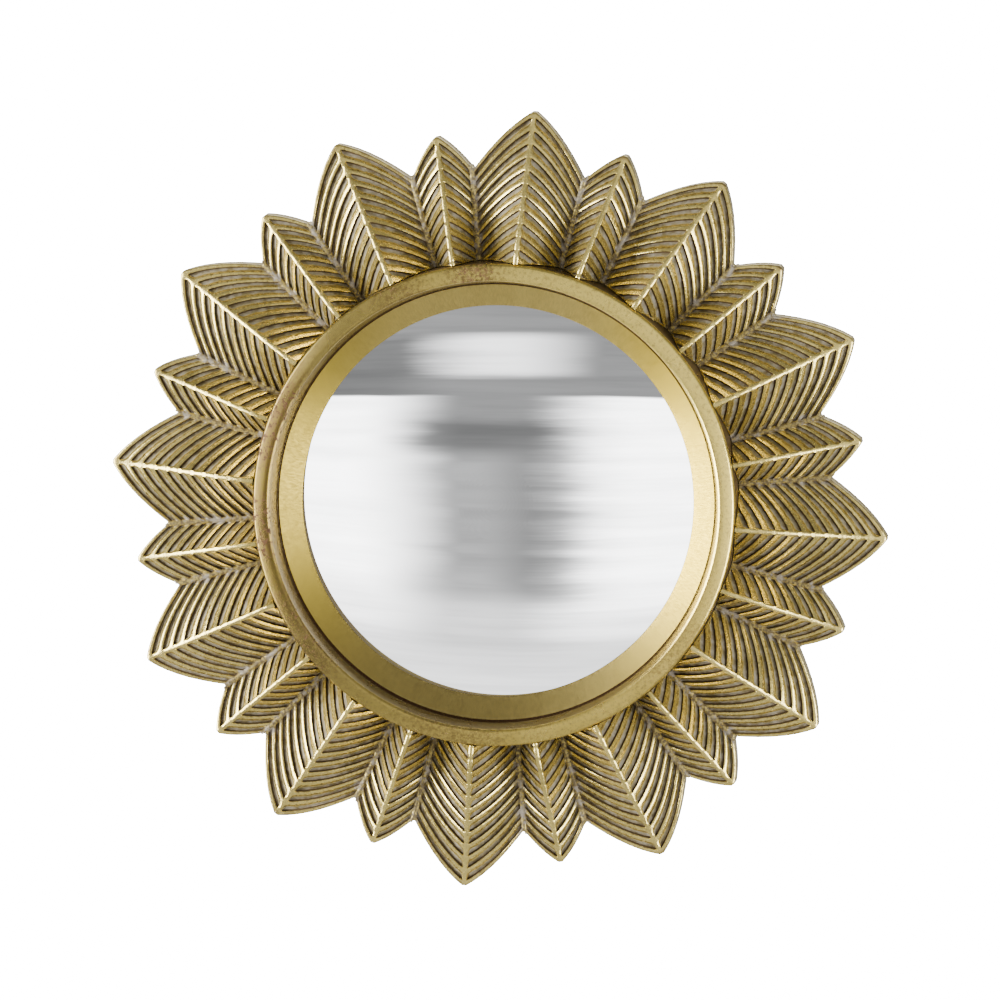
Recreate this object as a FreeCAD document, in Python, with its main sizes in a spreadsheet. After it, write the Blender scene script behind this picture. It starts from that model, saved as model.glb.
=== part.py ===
import FreeCAD, Part
import math
import os
from types import SimpleNamespace

import Sketcher

# Convex butler's mirror: a cast sunburst of pleated petals round a domed mirror, hung on a wall.
# Every piece is drawn as it lies on the bench, face up (+Z towards the viewer, +Y up the wall),
# and then turned to hang: the wall is the plane Y = 0, the glass looks along -Y, +Z is up.
# Heights are measured from the wall.

os.makedirs("parts", exist_ok=True)
doc = FreeCAD.newDocument("butlers_mirror")
on_wall = FreeCAD.Placement(FreeCAD.Vector(0, 0, 0), FreeCAD.Rotation(FreeCAD.Vector(1, 0, 0), 90))

# ---- Driving dimensions, in millimetres and degrees ----------------------------------------

driving = {
    # petals
    "petal_pairs": 12,
    "first_petal_angle": 5.2,
    "long_valley_angle": 9.75,
    "long_petal_reach": 47.7,
    "short_petal_reach": 40.7,
    "long_tip_height": 8.5,
    "short_tip_height": 10.5,
    "valley_height": 11.0,
    "long_ridge_height": 26.5,
    "short_ridge_height": 25.0,
    "ridge_start": 2.7,
    "long_side_slope": 0.62,
    "long_side_bow": 0.030,
    "short_side_slope": 0.75,
    "short_side_bow": 0.050,
    "vein_pitch": 4.1,
    "vein_depth": 0.9,
    "rim_bead_width": 1.6,
    "midrib_width": 1.3,
    "valley_bead_width": 1.3,
    # hub of the casting
    "back_gap": 1.5,
    "ring_seat_height": 9.0,
    "fit_gap": 0.3,
    "seat_relief": 0.15,
    # raised ring
    "ring_shoulder_height": 25.6,
    "ring_crown_height": 28.0,
    "ring_lip_setback": 1.8,
    "ring_lip_width": 1.4,
    "ring_edge_round": 1.6,
    "ring_lip_round": 0.5,
    "ring_leg_width": 4.3,
    # spun slip
    "slip_opening_radius": 62.9,
    "slip_face_width": 7.2,
    "slip_face_rise": 4.35,
    "slip_lip_thickness": 0.4,
    "slip_flange_width": 2.5,
    "slip_thickness": 0.8,
    # convex glass
    "glass_margin": 3.6,
    "glass_side_gap": 0.5,
    "glass_front_gap": 0.05,
    "glass_curve_radius": 280.0,
    "glass_thickness": 2.5,
    # packing and back board
    "packing_pads_number": 6,
    "packing_thickness": 1.05,
    "packing_setback": 1.0,
    "packing_width": 5.0,
    "packing_length": 12.0,
    "board_ledge": 4.2,
    "board_thickness": 3.0,
    "board_back_height": 4.5,
    # fasteners
    "ring_screws_number": 4,
    "ring_screw_radius": 1.25,
    "ring_screw_head_radius": 2.4,
    "ring_screw_head_height": 1.1,
    "ring_screw_length": 14.0,
    "board_screws_number": 4,
    "board_screw_setback": 2.2,
    "board_first_screw_angle": 45.0,
    "board_screw_radius": 1.0,
    "board_screw_head_radius": 1.9,
    "board_screw_head_height": 1.1,
    "board_screw_length": 9.0,
    "rivet_radius": 1.6,
    "rivet_head_radius": 2.8,
    "rivet_head_height": 1.1,
    "rivet_tail_height": 0.8,
    # hanger
    "hanger_setback": 19.2,
    "strap_width": 11.0,
    "strap_length": 26.0,
    "strap_sheet": 0.8,
    "rivet_drop": 18.5,
    "wire_radius": 1.1,
    "pin_clearance": 0.1,
    "ring_half_width": 10.0,
    "ring_side_drop": 3.2,
    "ring_corner_radius": 2.6,
    "ring_rest_tilt": 4.0,
    # felt pads
    "pads_number": 4,
    "pad_width": 12.0,
    "pad_setback": 14.7,
}

sheet = doc.addObject("Spreadsheet::Sheet", "Sizes")
for row, (alias, number) in enumerate(driving.items(), start=1):
    sheet.set("A%d" % row, alias)
    sheet.set("B%d" % row, str(number))
    sheet.setAlias("B%d" % row, alias)
doc.recompute()


class Size:
    """A number together with the sheet formula that it comes from."""

    def __init__(self, number, formula):
        self.number = number
        self.formula = formula

    def __add__(self, other):
        other = as_size(other)
        return Size(self.number + other.number, "(%s + %s)" % (self.formula, other.formula))

    def __sub__(self, other):
        other = as_size(other)
        return Size(self.number - other.number, "(%s - %s)" % (self.formula, other.formula))

    def __mul__(self, other):
        other = as_size(other)
        return Size(self.number * other.number, "(%s * %s)" % (self.formula, other.formula))

    def __truediv__(self, other):
        other = as_size(other)
        return Size(self.number / other.number, "(%s / %s)" % (self.formula, other.formula))


def as_size(value):
    if isinstance(value, Size):
        return value
    return Size(float(value), repr(float(value)))


def root(size):
    return Size(math.sqrt(size.number), "sqrt(%s)" % size.formula)


def hypotenuse(one, other):
    return root(one * one + other * other)


def rise(sphere_radius, radius):
    """Height of a sphere's surface over its centre, at that distance from the axis."""
    return root(sphere_radius * sphere_radius - radius * radius)


s = SimpleNamespace(**{alias: Size(float(sheet.get(alias)), "Sizes." + alias) for alias in driving})

# Radii, from the slip's opening outwards.
glass_radius = s.slip_opening_radius + s.glass_margin
glass_bore_radius = glass_radius + s.glass_side_gap
slip_radius = s.slip_opening_radius + s.slip_face_width
slip_heel_radius = slip_radius + s.slip_thickness / 2
slip_flange_radius = slip_radius + s.slip_flange_width
hub_boss_radius = slip_flange_radius + s.fit_gap / 3
ring_bare_radius = hub_boss_radius + s.fit_gap
ring_radius = ring_bare_radius + s.ring_leg_width
ring_pocket_radius = ring_radius + s.fit_gap
ring_lip_radius = slip_radius + s.ring_lip_setback
ring_screw_circle = ring_radius - s.ring_leg_width / 2
board_radius = glass_bore_radius + s.board_ledge
rebate_radius = board_radius + s.fit_gap
board_screw_circle = board_radius - s.board_screw_setback
hanger_pivot_height = board_radius - s.hanger_setback
packing_circle = glass_radius - s.packing_setback - s.packing_width / 2
pad_circle = ring_radius + s.pad_setback
long_tip_radius = ring_radius + s.long_petal_reach
short_tip_radius = ring_radius + s.short_petal_reach
ridge_start_radius = ring_radius + s.ridge_start

# Levels: the glass stands on the packing, the slip's inner edge lies on the glass, and the hub
# and ring follow the slip.
board_front_height = s.board_back_height + s.board_thickness
packing_front_height = board_front_height + s.packing_thickness
packing_reach = hypotenuse(packing_circle + s.packing_width / 2, s.packing_length / 2)
glass_centre_height = packing_front_height - rise(s.glass_curve_radius - s.glass_thickness, packing_reach)
glass_edge_height = glass_centre_height + rise(s.glass_curve_radius, s.slip_opening_radius)
slip_under_height = glass_edge_height + s.glass_front_gap
slip_lip_height = slip_under_height + s.slip_lip_thickness
slip_height = slip_lip_height + s.slip_face_rise
hub_boss_height = slip_height - s.slip_thickness
slip_under_slope = (hub_boss_height - slip_under_height) / (slip_heel_radius - s.slip_opening_radius)


# ---- Shared ways of drawing ------------------------------------------------------------------

def bind(thing, prop, size):
    thing.setExpression(prop, size.formula)


def origin_plane(body, role):
    for feature in body.Origin.OriginFeatures:
        if feature.Role == role:
            return feature
    raise ValueError(role)


def new_body(name):
    body = doc.addObject("PartDesign::Body", name)
    body.Label = name
    body.Placement = on_wall
    return body


def new_sketch(body, name, role, lift=None):
    sketch = body.newObject("Sketcher::SketchObject", name)
    sketch.AttachmentSupport = (origin_plane(body, role), [""])
    sketch.MapMode = "FlatFace"
    if lift is not None:
        bind(sketch, "AttachmentOffset.Base.z", lift)
    return sketch


def place_point(sketch, line, end, x, y):
    for kind, size in (("DistanceX", x), ("DistanceY", y)):
        number = sketch.addConstraint(Sketcher.Constraint(kind, -1, 1, line, end, size.number))
        sketch.setExpression("Constraints[%d]" % number, size.formula)


def draw_outline(sketch, corners):
    """A closed outline of straight lines through corners, each bound to the sheet."""
    corners = [(as_size(x), as_size(y)) for x, y in corners]
    spots = [FreeCAD.Vector(x.number, y.number, 0) for x, y in corners]
    lines = [sketch.addGeometry(Part.LineSegment(spots[i - 1], spots[i]), False) for i in range(len(spots))]
    for i in range(len(lines)):
        after = (i + 1) % len(lines)
        sketch.addConstraint(Sketcher.Constraint("Coincident", lines[i], 2, lines[after], 1))
    for line, (x, y) in zip(lines, corners):
        place_point(sketch, line, 2, x, y)


def draw_circle(sketch, x, y, radius):
    x = as_size(x)
    y = as_size(y)
    centre = FreeCAD.Vector(x.number, y.number, 0)
    circle = sketch.addGeometry(Part.Circle(centre, FreeCAD.Vector(0, 0, 1), radius.number), False)
    place_point(sketch, circle, 3, x, y)
    number = sketch.addConstraint(Sketcher.Constraint("Radius", circle, radius.number))
    sketch.setExpression("Constraints[%d]" % number, radius.formula)


def turned_body(name, corners):
    """A body of revolution about the mirror's axis, from an outline of (radius, height) corners."""
    body = new_body(name)
    profile = new_sketch(body, name + "_profile", "XZ_Plane")
    draw_outline(profile, corners)
    turned = body.newObject("PartDesign::Revolution", name + "_turned")
    turned.Profile = profile
    turned.ReferenceAxis = (profile, ["V_Axis"])
    turned.Angle = 360
    return body


def padded(body, sketch, name, length):
    pad = body.newObject("PartDesign::Pad", name)
    pad.Profile = sketch
    bind(pad, "Length", length)
    return pad


def pocketed(body, sketch, name, length):
    pocket = body.newObject("PartDesign::Pocket", name)
    pocket.Profile = sketch
    pocket.Type = 0
    pocket.Reversed = True
    bind(pocket, "Length", length)
    return pocket


def patterned(body, feature, name, count):
    pattern = body.newObject("PartDesign::PolarPattern", name)
    pattern.Originals = [feature]
    pattern.Axis = (origin_plane(body, "Z_Axis"), [""])
    pattern.Angle = 360
    bind(pattern, "Occurrences", count)
    body.Tip = pattern
    return pattern


def eased(start, corner, end, flats):
    """A rounded corner of a turned outline, drawn as a few short flats from start to end."""
    spots = []
    for i in range(flats + 1):
        t = i / flats
        weights = ((1 - t) ** 2, 2 * t * (1 - t), t * t)
        spots.append(tuple(start[k] * weights[0] + corner[k] * weights[1] + end[k] * weights[2]
                           for k in (0, 1)))
    return spots


def around(shape, number, radius, start_angle):
    """Copies of a shape, drawn at the axis, spaced evenly on a circle as one group."""
    count = int(round(number.number))
    copies = []
    for i in range(count):
        copy = shape.copy()
        copy.translate(FreeCAD.Vector(radius.number, 0, 0))
        copies.append(turned_to(copy, start_angle + 360.0 / count * i))
    return copies


def turned_to(shape, angle):
    """The shape, turned anticlockwise about the mirror's axis."""
    shape.rotate(FreeCAD.Vector(0, 0, 0), FreeCAD.Vector(0, 0, 1), angle)
    return shape


def group_node(name, solids):
    node = doc.addObject("Part::Feature", name)
    node.Label = name
    node.Shape = Part.makeCompound(solids)
    node.Placement = on_wall
    return node


# ---- Cast frame of pleated petals ------------------------------------------------------------

class Petal:
    """One petal, tip along +Y: a pleated roof whose veins repeat the petal's own side curve.

    A vein curve is the side of the petal moved inwards by a shift, from the midrib's edge out to
    the bead in the valley. Across = 0 is the midrib's edge and across = 1 the valley bead.
    """

    def __init__(self, stations, tip_radius, tip_height, ridge_height, slope, bow, valley_angle):
        self.stations = stations
        self.tip_radius = tip_radius.number
        self.tip_height = tip_height.number
        self.ridge_height = ridge_height.number
        self.slope = slope.number
        self.bow = bow.number
        self.valley_angle = math.radians(valley_angle)
        self.half_midrib = s.midrib_width.number / 2
        self.half_bead = s.valley_bead_width.number / 2
        inward = self.tip_radius - ring_radius.number - s.rim_bead_width.number
        self.veins = int(math.ceil(inward / s.vein_pitch.number)) + 1

    def side_drop(self, w):
        return self.slope * w + self.bow * w * w

    def ridge(self, shift):
        run = self.tip_radius - ridge_start_radius.number
        share = min(1.0, max(0.0, shift / run))
        eased = 0.6 * share + 0.4 * share * share * (3 - 2 * share)
        return self.tip_height + (self.ridge_height - self.tip_height) * eased

    def valley_width(self, shift):
        """Half-width at which the vein curve of that shift meets the valley bead."""
        grow = math.tan(self.valley_angle)
        apex = self.tip_radius + self.side_drop(self.half_midrib) - shift
        a = self.bow * grow
        b = self.slope * grow + 1
        c = self.half_bead / math.cos(self.valley_angle) - apex * grow
        return (-b + math.sqrt(b * b - 4 * a * c)) / (2 * a)

    def point(self, shift, across, side, drop=0.0):
        far = self.valley_width(shift)
        w = self.half_midrib + (far - self.half_midrib) * across
        y = self.tip_radius + self.side_drop(self.half_midrib) - shift - self.side_drop(w)
        top = self.ridge(shift)
        z = top + (s.valley_height.number - top) * across - drop
        return FreeCAD.Vector(side * w, y, z)

    def notch_radius(self):
        """Where the rim's edge comes down to the valley, along the valley."""
        end = self.point(0.0, 1.0, 1)
        return end.x * math.sin(self.valley_angle) + end.y * math.cos(self.valley_angle)

    def valley_point(self, radius, side):
        x = side * radius * math.sin(self.valley_angle)
        return FreeCAD.Vector(x, radius * math.cos(self.valley_angle), s.valley_height.number)

    def curve(self, shift, side, drop=0.0):
        return [self.point(shift, across, side, drop) for across in self.stations]

    def solid(self, notch_radius):
        depth = s.vein_depth.number
        floor = s.back_gap.number
        shifts = [s.rim_bead_width.number + vein * s.vein_pitch.number for vein in range(self.veins)]
        rim = []
        faces = []
        for side in (-1, 1):
            outline = self.curve(0.0, side)
            faces += band(outline, self.curve(shifts[0], side), strip)
            for brink, following in zip(shifts, shifts[1:]):
                crest = self.curve(brink, side)
                foot = self.curve(brink, side, depth)
                rise = self.curve(following, side)
                faces += band(crest, foot, wall)
                faces += band(foot, rise, strip)
                faces += [facet([crest[0], foot[0], rise[0]]), facet([crest[-1], foot[-1], rise[-1]])]
            edge = [self.point(shift, 1.0, side) for shift in [0.0] + shifts]
            notch = self.valley_point(notch_radius, side)
            root = self.valley_point(math.hypot(edge[-1].x, edge[-1].y), side)
            faces.append(facet([notch] + edge + [root]))
            rim.append(outline + [notch, root] + self.curve(shifts[-1], side)[::-1])
        for start, end in zip([0.0] + shifts, shifts):
            faces += wall([self.point(start, 0.0, -1), self.point(start, 0.0, 1)],
                          [self.point(end, 0.0, -1), self.point(end, 0.0, 1)])
        loop = rim[0] + rim[1][::-1]
        for here, there in zip(loop, loop[1:] + loop[:1]):
            faces += wall([here, there], [level(here, floor), level(there, floor)])
        faces.append(facet([level(spot, floor) for spot in loop]))
        shell = Part.makeShell(faces)
        shell.sewShape()
        return outward(Part.makeSolid(shell))


def level(spot, height):
    return FreeCAD.Vector(spot.x, spot.y, height)


def facet(spots):
    return Part.Face(Part.makePolygon(spots + [spots[0]]))


def wall(upper, lower):
    """A flat four-sided face between two edges that lie in one plane."""
    return [facet([upper[0], upper[1], lower[1], lower[0]])]


def strip(upper, lower):
    """Two triangles between two edges that do not lie in one plane."""
    return [facet([upper[0], upper[1], lower[0]]), facet([upper[1], lower[1], lower[0]])]


def band(upper, lower, joined):
    """Faces between two curves drawn through the same stations."""
    faces = []
    for i in range(len(upper) - 1):
        faces += joined(upper[i:i + 2], lower[i:i + 2])
    return faces


def outward(solid):
    if solid.Volume < 0:
        solid.reverse()
    return solid


def turned_solid(corners):
    """A solid of revolution about the mirror's axis from (radius, height) corners."""
    face = facet([FreeCAD.Vector(as_size(x).number, 0, as_size(z).number) for x, z in corners])
    return face.revolve(FreeCAD.Vector(0, 0, 0), FreeCAD.Vector(0, 0, 1), 360)


def petal_ring(petal, first_angle):
    """Copies of a petal round the axis; angles run clockwise from the top."""
    count = int(round(s.petal_pairs.number))
    return [turned_to(petal.copy(), -first_angle - 360.0 / count * i) for i in range(count)]


def make_petal_frame():
    half_pair = 180.0 / s.petal_pairs.number
    long_petal = Petal((0.0, 0.5, 1.0), long_tip_radius, s.long_tip_height, s.long_ridge_height,
                       s.long_side_slope, s.long_side_bow, s.long_valley_angle.number)
    short_petal = Petal((0.0, 1.0), short_tip_radius, s.short_tip_height, s.short_ridge_height,
                        s.short_side_slope, s.short_side_bow, half_pair - s.long_valley_angle.number)
    notch = long_petal.notch_radius()
    petals = petal_ring(long_petal.solid(notch), s.first_petal_angle.number)
    petals += petal_ring(short_petal.solid(notch), s.first_petal_angle.number + half_pair)
    print("notch radius %.3f (short petal alone %.3f)" % (notch, short_petal.notch_radius()))
    hub = Part.makeCylinder(ring_radius.number, (hub_boss_height - s.back_gap).number,
                            FreeCAD.Vector(0, 0, s.back_gap.number))
    casting = hub.multiFuse(petals)

    # Rear rebate for the board, bore for the glass, and the channel that the raised ring stands in.
    above = s.ring_crown_height + s.ring_crown_height
    seat_run = glass_bore_radius - s.slip_opening_radius
    slip_seat = slip_under_height + slip_under_slope * seat_run - s.seat_relief
    bore = turned_solid([(0, 0), (rebate_radius, 0), (rebate_radius, board_front_height),
                         (glass_bore_radius, board_front_height), (glass_bore_radius, slip_seat),
                         (slip_heel_radius, hub_boss_height - s.seat_relief),
                         (slip_heel_radius, hub_boss_height),
                         (hub_boss_radius, hub_boss_height), (hub_boss_radius, s.ring_seat_height),
                         (ring_pocket_radius, s.ring_seat_height), (ring_pocket_radius, above), (0, above)])
    ring_hole = Part.makeCylinder(s.ring_screw_radius.number, s.ring_seat_height.number)
    board_pilot = Part.makeCylinder(s.board_screw_radius.number,
                                    (s.board_back_height + s.board_screw_length).number)
    holes = around(ring_hole, s.ring_screws_number, ring_screw_circle, 90)
    holes += around(board_pilot, s.board_screws_number, board_screw_circle, s.board_first_screw_angle.number)
    node = doc.addObject("Part::Feature", "petal_frame")
    node.Label = "petal_frame"
    node.Shape = casting.cut([bore] + holes)
    node.Placement = on_wall
    return node


# ---- Raised ring, slip and glass -------------------------------------------------------------

def make_ring_moulding():
    lip_top = ring_lip_radius + s.ring_lip_width
    top_fall = (s.ring_crown_height - s.ring_shoulder_height) / (ring_radius - lip_top)
    outer_round = eased(
        (ring_radius, s.ring_shoulder_height - s.ring_edge_round),
        (ring_radius, s.ring_shoulder_height),
        (ring_radius - s.ring_edge_round, s.ring_shoulder_height + top_fall * s.ring_edge_round), 2)
    body = turned_body("ring_moulding", [
        (ring_bare_radius, s.ring_seat_height), (ring_radius, s.ring_seat_height)] + outer_round + [
        (lip_top, s.ring_crown_height), (ring_lip_radius + s.ring_lip_round, s.ring_crown_height),
        (ring_lip_radius, s.ring_crown_height - s.ring_lip_round),
        (slip_radius, slip_height), (ring_bare_radius, slip_height)])
    doc.recompute()
    pilots = new_sketch(body, "ring_pilots", "XY_Plane", s.ring_seat_height)
    draw_circle(pilots, 0, ring_screw_circle, s.ring_screw_radius)
    drilled = pocketed(body, pilots, "ring_pilot", s.ring_screw_length + s.back_gap - s.ring_seat_height)
    patterned(body, drilled, "ring_pilot_pattern", s.ring_screws_number)
    return body


def make_slip_ring():
    return turned_body("slip_ring", [
        (s.slip_opening_radius, slip_under_height), (slip_heel_radius, hub_boss_height),
        (slip_flange_radius, hub_boss_height), (slip_flange_radius, slip_height),
        (slip_radius, slip_height), (s.slip_opening_radius, slip_lip_height)])


def primitive(kind, name, **sizes):
    thing = doc.addObject(kind, name)
    for prop, size in sizes.items():
        bind(thing, prop.replace("_", "."), size)
    return thing


def glass_sphere(name, radius):
    """A sphere about the glass's centre of curvature, its poles turned away from the glass."""
    sphere = primitive("Part::Sphere", name, Radius=radius)
    sphere.Placement = on_wall
    bind(sphere, "Placement.Base.z", glass_centre_height)
    return sphere


def boolean(kind, name, base, tool):
    thing = doc.addObject(kind, name)
    thing.Base = base
    thing.Tool = tool
    return thing


def make_convex_glass():
    """A slumped disc: two concentric spheres cut to a round blank."""
    front = glass_sphere("glass_front_sphere", s.glass_curve_radius)
    back = glass_sphere("glass_back_sphere", s.glass_curve_radius - s.glass_thickness)
    blank = primitive("Part::Cylinder", "glass_blank", Radius=glass_radius, Height=s.ring_crown_height)
    domed = boolean("Part::Common", "glass_domed", blank, front)
    node = boolean("Part::Cut", "convex_glass", domed, back)
    node.Label = "convex_glass"
    node.Placement = on_wall
    return node


def make_packing_pads():
    """Foam blocks on the board that press the glass's rim up against the slip."""
    width = s.packing_width.number
    length = s.packing_length.number
    block = Part.makeBox(width, length, s.packing_thickness.number,
                         FreeCAD.Vector(-width / 2, -length / 2, board_front_height.number))
    return group_node("packing_pads", around(block, s.packing_pads_number, packing_circle, 90))


# ---- Back board and its hanger -----------------------------------------------------------------

strap_surface = s.board_back_height - s.strap_sheet - s.strap_sheet
eyelet_radius = s.wire_radius + s.pin_clearance + s.strap_sheet
pivot_level = s.board_back_height - eyelet_radius
rivet_place = hanger_pivot_height - s.rivet_drop


def make_back_board():
    body = new_body("back_board")
    disc = new_sketch(body, "board_disc", "XY_Plane", s.board_back_height)
    draw_circle(disc, 0, 0, board_radius)
    padded(body, disc, "board_sheet", s.board_thickness)
    rivet_hole = new_sketch(body, "board_rivet_hole", "XY_Plane", s.board_back_height)
    draw_circle(rivet_hole, 0, rivet_place, s.rivet_radius)
    pocketed(body, rivet_hole, "board_rivet_pocket", s.board_thickness)
    screw_hole = new_sketch(body, "board_screw_hole", "XY_Plane", s.board_back_height)
    turned = math.radians(s.board_first_screw_angle.number)
    draw_circle(screw_hole, board_screw_circle * math.cos(turned), board_screw_circle * math.sin(turned),
                s.board_screw_radius)
    drilled = pocketed(body, screw_hole, "board_screw_pocket", s.board_thickness)
    patterned(body, drilled, "board_screw_pattern", s.board_screws_number)
    return body


def pan_head_screw(seat, radius, length, head_radius, head_height):
    """A screw driven upwards from a seat, its plain head standing below it."""
    return turned_solid([(0, seat - head_height), (head_radius, seat - head_height), (head_radius, seat),
                         (radius, seat), (radius, seat + length), (0, seat + length)])


def make_board_screws():
    screw = pan_head_screw(s.board_back_height, s.board_screw_radius, s.board_screw_length,
                           s.board_screw_head_radius, s.board_screw_head_height)
    return group_node("board_screws", around(screw, s.board_screws_number, board_screw_circle,
                                             s.board_first_screw_angle.number))


def make_ring_screws():
    screw = pan_head_screw(s.back_gap, s.ring_screw_radius, s.ring_screw_length,
                           s.ring_screw_head_radius, s.ring_screw_head_height)
    return group_node("ring_screws", around(screw, s.ring_screws_number, ring_screw_circle, 90))


def make_hanger_strap():
    """Folded strip: a loop round the D-ring's bar, then a double tongue down the board."""
    body = new_body("hanger_strap")
    side = new_sketch(body, "strap_side", "YZ_Plane")
    foot = hanger_pivot_height - s.strap_length
    draw_outline(side, [(foot, strap_surface), (hanger_pivot_height, strap_surface),
                        (hanger_pivot_height, s.board_back_height), (foot, s.board_back_height)])
    tongue = padded(body, side, "strap_tongue", s.strap_width)
    tongue.Midplane = True
    loop = new_sketch(body, "strap_loop", "YZ_Plane")
    draw_circle(loop, hanger_pivot_height, pivot_level, eyelet_radius)
    padded(body, loop, "strap_eyelet", s.strap_width).Midplane = True
    bore = new_sketch(body, "strap_bore", "YZ_Plane")
    draw_circle(bore, hanger_pivot_height, pivot_level, s.wire_radius + s.pin_clearance)
    cut = pocketed(body, bore, "strap_bore_cut", s.strap_width * 2)
    cut.Midplane = True
    hole = new_sketch(body, "strap_rivet_hole", "XY_Plane", strap_surface)
    draw_circle(hole, 0, rivet_place, s.rivet_radius)
    pocketed(body, hole, "strap_rivet_pocket", s.strap_sheet * 2)
    return body


def make_hanger_rivet():
    head = strap_surface - s.rivet_head_height
    tail = board_front_height + s.rivet_tail_height
    rivet = turned_solid([(0, head), (s.rivet_head_radius, head), (s.rivet_head_radius, strap_surface),
                          (s.rivet_radius, strap_surface), (s.rivet_radius, board_front_height),
                          (s.rivet_head_radius, board_front_height), (s.rivet_head_radius, tail), (0, tail)])
    rivet.translate(FreeCAD.Vector(0, rivet_place.number, 0))
    return group_node("hanger_rivet", [rivet])


def wire_section(x, y, toward):
    """The wire's cross-section, an eight-sided face square to the plane of the ring."""
    radius = s.wire_radius.number
    corners = []
    for i in range(8):
        angle = math.radians(22.5 + 45 * i)
        corners.append(FreeCAD.Vector(x, y, radius * math.sin(angle)) + toward * (radius * math.cos(angle)))
    return facet(corners)


def make_hanger_ring():
    """Wire bent to a D: a straight bar in the strap's loop, and a bow that hangs below it."""
    half = s.ring_half_width.number
    corner = s.ring_corner_radius.number
    drop = s.ring_side_drop.number
    spot = FreeCAD.Vector
    runs = [wire_section(corner - half, 0, spot(0, 1, 0)).extrude(spot(2 * (half - corner), 0, 0)),
            wire_section(half, -drop, spot(1, 0, 0)).revolve(spot(0, -drop, 0), spot(0, 0, 1), -180)]
    for side in (-1, 1):
        runs.append(wire_section(side * half, -drop, spot(1, 0, 0)).extrude(spot(0, drop - corner, 0)))
        runs.append(wire_section(side * (half - corner), 0, spot(0, 1, 0)).revolve(
            spot(side * (half - corner), -corner, 0), spot(0, 0, 1), -90 * side))
    hung = FreeCAD.Placement(spot(0, hanger_pivot_height.number, pivot_level.number),
                             FreeCAD.Rotation(spot(1, 0, 0), s.ring_rest_tilt.number))
    node = doc.addObject("Part::Feature", "hanger_ring")
    node.Label = "hanger_ring"
    node.Shape = outward(runs[0].multiFuse(runs[1:]).removeSplitter())
    node.Placement = on_wall.multiply(hung)
    return node


def make_wall_pads():
    """Square self-adhesive felts between the casting and the wall."""
    side = s.pad_width.number
    pad = Part.makeBox(side, side, s.back_gap.number, FreeCAD.Vector(-side / 2, -side / 2, 0))
    return group_node("wall_pads", around(pad, s.pads_number, pad_circle, 90))


# ---- Build, check and write ----------------------------------------------------------------------

nodes = [make_petal_frame(), make_ring_moulding(), make_slip_ring(), make_convex_glass(),
         make_packing_pads(), make_back_board(), make_board_screws(), make_ring_screws(),
         make_hanger_strap(), make_hanger_rivet(), make_hanger_ring(), make_wall_pads()]
doc.recompute()

for thing in doc.Objects:
    if "Invalid" in thing.State or "Error" in thing.State:
        raise RuntimeError("%s failed: %s" % (thing.Name, thing.State))
for node in nodes:
    if node.Shape.isNull() or not node.Shape.isValid():
        raise RuntimeError("%s has no valid shape" % node.Label)
for node in nodes:
    node.Shape.exportStep("parts/%s.step" % node.Label)
    print("%-14s %6d faces %12.1f mm3 %d solids" % (node.Label, len(node.Shape.Faces), node.Shape.Volume,
                                                    len(node.Shape.Solids)))
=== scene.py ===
import math
import bmesh
import bpy
from mathutils import Matrix, Vector, noise


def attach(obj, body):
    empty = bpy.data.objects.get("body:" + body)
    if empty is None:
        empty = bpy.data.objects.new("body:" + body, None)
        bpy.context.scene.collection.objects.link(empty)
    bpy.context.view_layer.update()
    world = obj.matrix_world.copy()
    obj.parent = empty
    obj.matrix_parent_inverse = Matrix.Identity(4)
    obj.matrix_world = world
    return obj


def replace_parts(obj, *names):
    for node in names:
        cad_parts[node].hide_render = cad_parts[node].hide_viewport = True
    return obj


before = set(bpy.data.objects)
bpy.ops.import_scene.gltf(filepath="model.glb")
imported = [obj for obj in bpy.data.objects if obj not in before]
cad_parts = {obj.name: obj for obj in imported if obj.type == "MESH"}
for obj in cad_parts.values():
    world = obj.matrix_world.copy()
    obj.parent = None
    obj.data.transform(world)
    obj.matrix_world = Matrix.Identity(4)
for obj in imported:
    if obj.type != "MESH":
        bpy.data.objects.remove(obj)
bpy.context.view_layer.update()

# ---- Cast frame of petals ---------------------------------------------------------------------
# One resin casting: twelve long and twelve short petals, pleated along their midribs and veined
# with ribs that repeat each petal's own edge. The hub behind them is turned to take the ring, the
# slip, the glass and the back board. Sizes are in millimetres; heights are measured off the wall.

MM = 0.001
petal_pairs = 12
pair_angle = 2 * math.pi / petal_pairs
first_petal_angle = math.radians(5.2)
long_valley_angle = math.radians(9.75)
short_valley_angle = pair_angle / 2 - long_valley_angle
ring_radius = 77.3
channel_radius = ring_radius + 0.3
long_petal_tip = ring_radius + 47.7
short_petal_tip = ring_radius + 40.7
half_midrib = 0.65
midrib_crown = 0.16
half_bead = 0.65
bead_crown = 0.22
valley_height = 11.0
rib_pitch = 4.1
rim_width = 1.6
groove_depth = 1.4

# A pleat's ridge is level within ridge_stop of the ring. Each groove ends in a wall at the bead and
# at the midrib, gentler at the midrib where its floor has climbed. The surface is slightly uneven.
ridge_stop = 2.7
groove_end_gap = 0.02
groove_end_wall = 0.22
groove_end_ramp = 1.1
groove_bead_wall = 0.35
unevenness = 0.14
unevenness_per_mm = 0.16

# The hub, from its back to the seat of the slip.
back_height = 1.5
back_edge = 0.4
board_recess = 71.5
board_front = 7.5
glass_bore = 67.0
glass_bore_top = 13.8
slip_bend = 70.5
slip_seat = 15.8
channel_inside = 72.7
channel_floor = 9.0

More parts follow.
